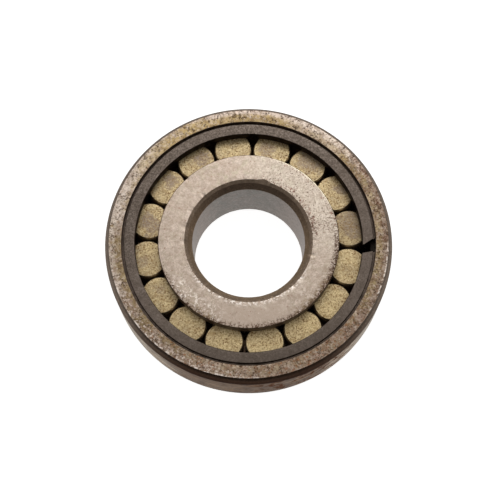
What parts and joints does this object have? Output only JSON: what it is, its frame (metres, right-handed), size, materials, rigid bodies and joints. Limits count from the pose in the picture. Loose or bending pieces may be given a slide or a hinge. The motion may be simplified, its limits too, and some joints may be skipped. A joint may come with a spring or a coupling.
{
  "type": "cylindrical roller bearing",
  "caption": "Full-complement cylindrical roller bearing: a flanged outer ring with a split retaining ring, a ribbed inner ring and cageless parallel rollers that turn between them.",
  "frame": {"origin": "on the bearing's axis at the middle of the inner ring's width", "axes": "+Z along the bearing's axis towards the retaining ring's side; the first roller's centre stands 7.9 degrees round from +X"},
  "size_m": [0.056, 0.056, 0.016],
  "materials": {
    "outer_ring_steel": "stained and rusted ground bearing steel",
    "inner_ring_steel": "ground bearing steel, handled and lightly spotted with rust",
    "retaining_ring_steel": "dark tempered spring steel",
    "roller_steel": "ground bearing steel, yellowed by old oil"
  },
  "bodies": {
    "outer_ring": {"outer_ring": "outer_ring_steel", "retaining_ring": "retaining_ring_steel"},
    "inner_ring": {"inner_ring": "inner_ring_steel"},
    "roller_01": {"roller_01": "roller_steel"},
    "roller_02": {"roller_02": "roller_steel"},
    "roller_03": {"roller_03": "roller_steel"},
    "roller_04": {"roller_04": "roller_steel"},
    "roller_05": {"roller_05": "roller_steel"},
    "roller_06": {"roller_06": "roller_steel"},
    "roller_07": {"roller_07": "roller_steel"},
    "roller_08": {"roller_08": "roller_steel"},
    "roller_09": {"roller_09": "roller_steel"},
    "roller_10": {"roller_10": "roller_steel"},
    "roller_11": {"roller_11": "roller_steel"},
    "roller_12": {"roller_12": "roller_steel"},
    "roller_13": {"roller_13": "roller_steel"},
    "roller_14": {"roller_14": "roller_steel"},
    "roller_15": {"roller_15": "roller_steel"},
    "roller_16": {"roller_16": "roller_steel"}
  },
  "joints": [
    {"name": "inner_ring_spin", "type": "hinge", "parent": "outer_ring", "child": "inner_ring", "pos_m": [0, 0, 0], "axis": [0, 0, 1], "continuous": true},
    {"name": "roller_set_orbit", "type": "hinge", "parent": "outer_ring", "child": "roller_01", "pos_m": [0, 0, 0], "axis": [0, 0, 1], "continuous": true},
    {"name": "roller_02_spin", "type": "hinge", "parent": "roller_01", "child": "roller_02", "pos_m": [0.01725, 0.01012, 0.0015], "axis": [0, 0, 1], "continuous": true},
    {"name": "roller_03_spin", "type": "hinge", "parent": "roller_01", "child": "roller_03", "pos_m": [0.01206, 0.01595, 0.0015], "axis": [0, 0, 1], "continuous": true},
    {"name": "roller_04_spin", "type": "hinge", "parent": "roller_01", "child": "roller_04", "pos_m": [0.00504, 0.01935, 0.0015], "axis": [0, 0, 1], "continuous": true},
    {"name": "roller_05_spin", "type": "hinge", "parent": "roller_01", "child": "roller_05", "pos_m": [-0.00275, 0.01981, 0.0015], "axis": [0, 0, 1], "continuous": true},
    {"name": "roller_06_spin", "type": "hinge", "parent": "roller_01", "child": "roller_06", "pos_m": [-0.01012, 0.01725, 0.0015], "axis": [0, 0, 1], "continuous": true},
    {"name": "roller_07_spin", "type": "hinge", "parent": "roller_01", "child": "roller_07", "pos_m": [-0.01595, 0.01206, 0.0015], "axis": [0, 0, 1], "continuous": true},
    {"name": "roller_08_spin", "type": "hinge", "parent": "roller_01", "child": "roller_08", "pos_m": [-0.01935, 0.00504, 0.0015], "axis": [0, 0, 1], "continuous": true},
    {"name": "roller_09_spin", "type": "hinge", "parent": "roller_01", "child": "roller_09", "pos_m": [-0.01981, -0.00275, 0.0015], "axis": [0, 0, 1], "continuous": true},
    {"name": "roller_10_spin", "type": "hinge", "parent": "roller_01", "child": "roller_10", "pos_m": [-0.01725, -0.01012, 0.0015], "axis": [0, 0, 1], "continuous": true},
    {"name": "roller_11_spin", "type": "hinge", "parent": "roller_01", "child": "roller_11", "pos_m": [-0.01206, -0.01595, 0.0015], "axis": [0, 0, 1], "continuous": true},
    {"name": "roller_12_spin", "type": "hinge", "parent": "roller_01", "child": "roller_12", "pos_m": [-0.00504, -0.01935, 0.0015], "axis": [0, 0, 1], "continuous": true},
    {"name": "roller_13_spin", "type": "hinge", "parent": "roller_01", "child": "roller_13", "pos_m": [0.00275, -0.01981, 0.0015], "axis": [0, 0, 1], "continuous": true},
    {"name": "roller_14_spin", "type": "hinge", "parent": "roller_01", "child": "roller_14", "pos_m": [0.01012, -0.01725, 0.0015], "axis": [0, 0, 1], "continuous": true},
    {"name": "roller_15_spin", "type": "hinge", "parent": "roller_01", "child": "roller_15", "pos_m": [0.01595, -0.01206, 0.0015], "axis": [0, 0, 1], "continuous": true},
    {"name": "roller_16_spin", "type": "hinge", "parent": "roller_01", "child": "roller_16", "pos_m": [0.01935, -0.00504, 0.0015], "axis": [0, 0, 1], "continuous": true}
  ],
  "couplings": [
    {"joint": "roller_set_orbit", "follows": "inner_ring_spin", "ratio": 0.40625},
    {"joint": "roller_02_spin", "follows": "inner_ring_spin", "ratio": -2.5729},
    {"joint": "roller_03_spin", "follows": "inner_ring_spin", "ratio": -2.5729},
    {"joint": "roller_04_spin", "follows": "inner_ring_spin", "ratio": -2.5729},
    {"joint": "roller_05_spin", "follows": "inner_ring_spin", "ratio": -2.5729},
    {"joint": "roller_06_spin", "follows": "inner_ring_spin", "ratio": -2.5729},
    {"joint": "roller_07_spin", "follows": "inner_ring_spin", "ratio": -2.5729},
    {"joint": "roller_08_spin", "follows": "inner_ring_spin", "ratio": -2.5729},
    {"joint": "roller_09_spin", "follows": "inner_ring_spin", "ratio": -2.5729},
    {"joint": "roller_10_spin", "follows": "inner_ring_spin", "ratio": -2.5729},
    {"joint": "roller_11_spin", "follows": "inner_ring_spin", "ratio": -2.5729},
    {"joint": "roller_12_spin", "follows": "inner_ring_spin", "ratio": -2.5729},
    {"joint": "roller_13_spin", "follows": "inner_ring_spin", "ratio": -2.5729},
    {"joint": "roller_14_spin", "follows": "inner_ring_spin", "ratio": -2.5729},
    {"joint": "roller_15_spin", "follows": "inner_ring_spin", "ratio": -2.5729},
    {"joint": "roller_16_spin", "follows": "inner_ring_spin", "ratio": -2.5729}
  ]
}
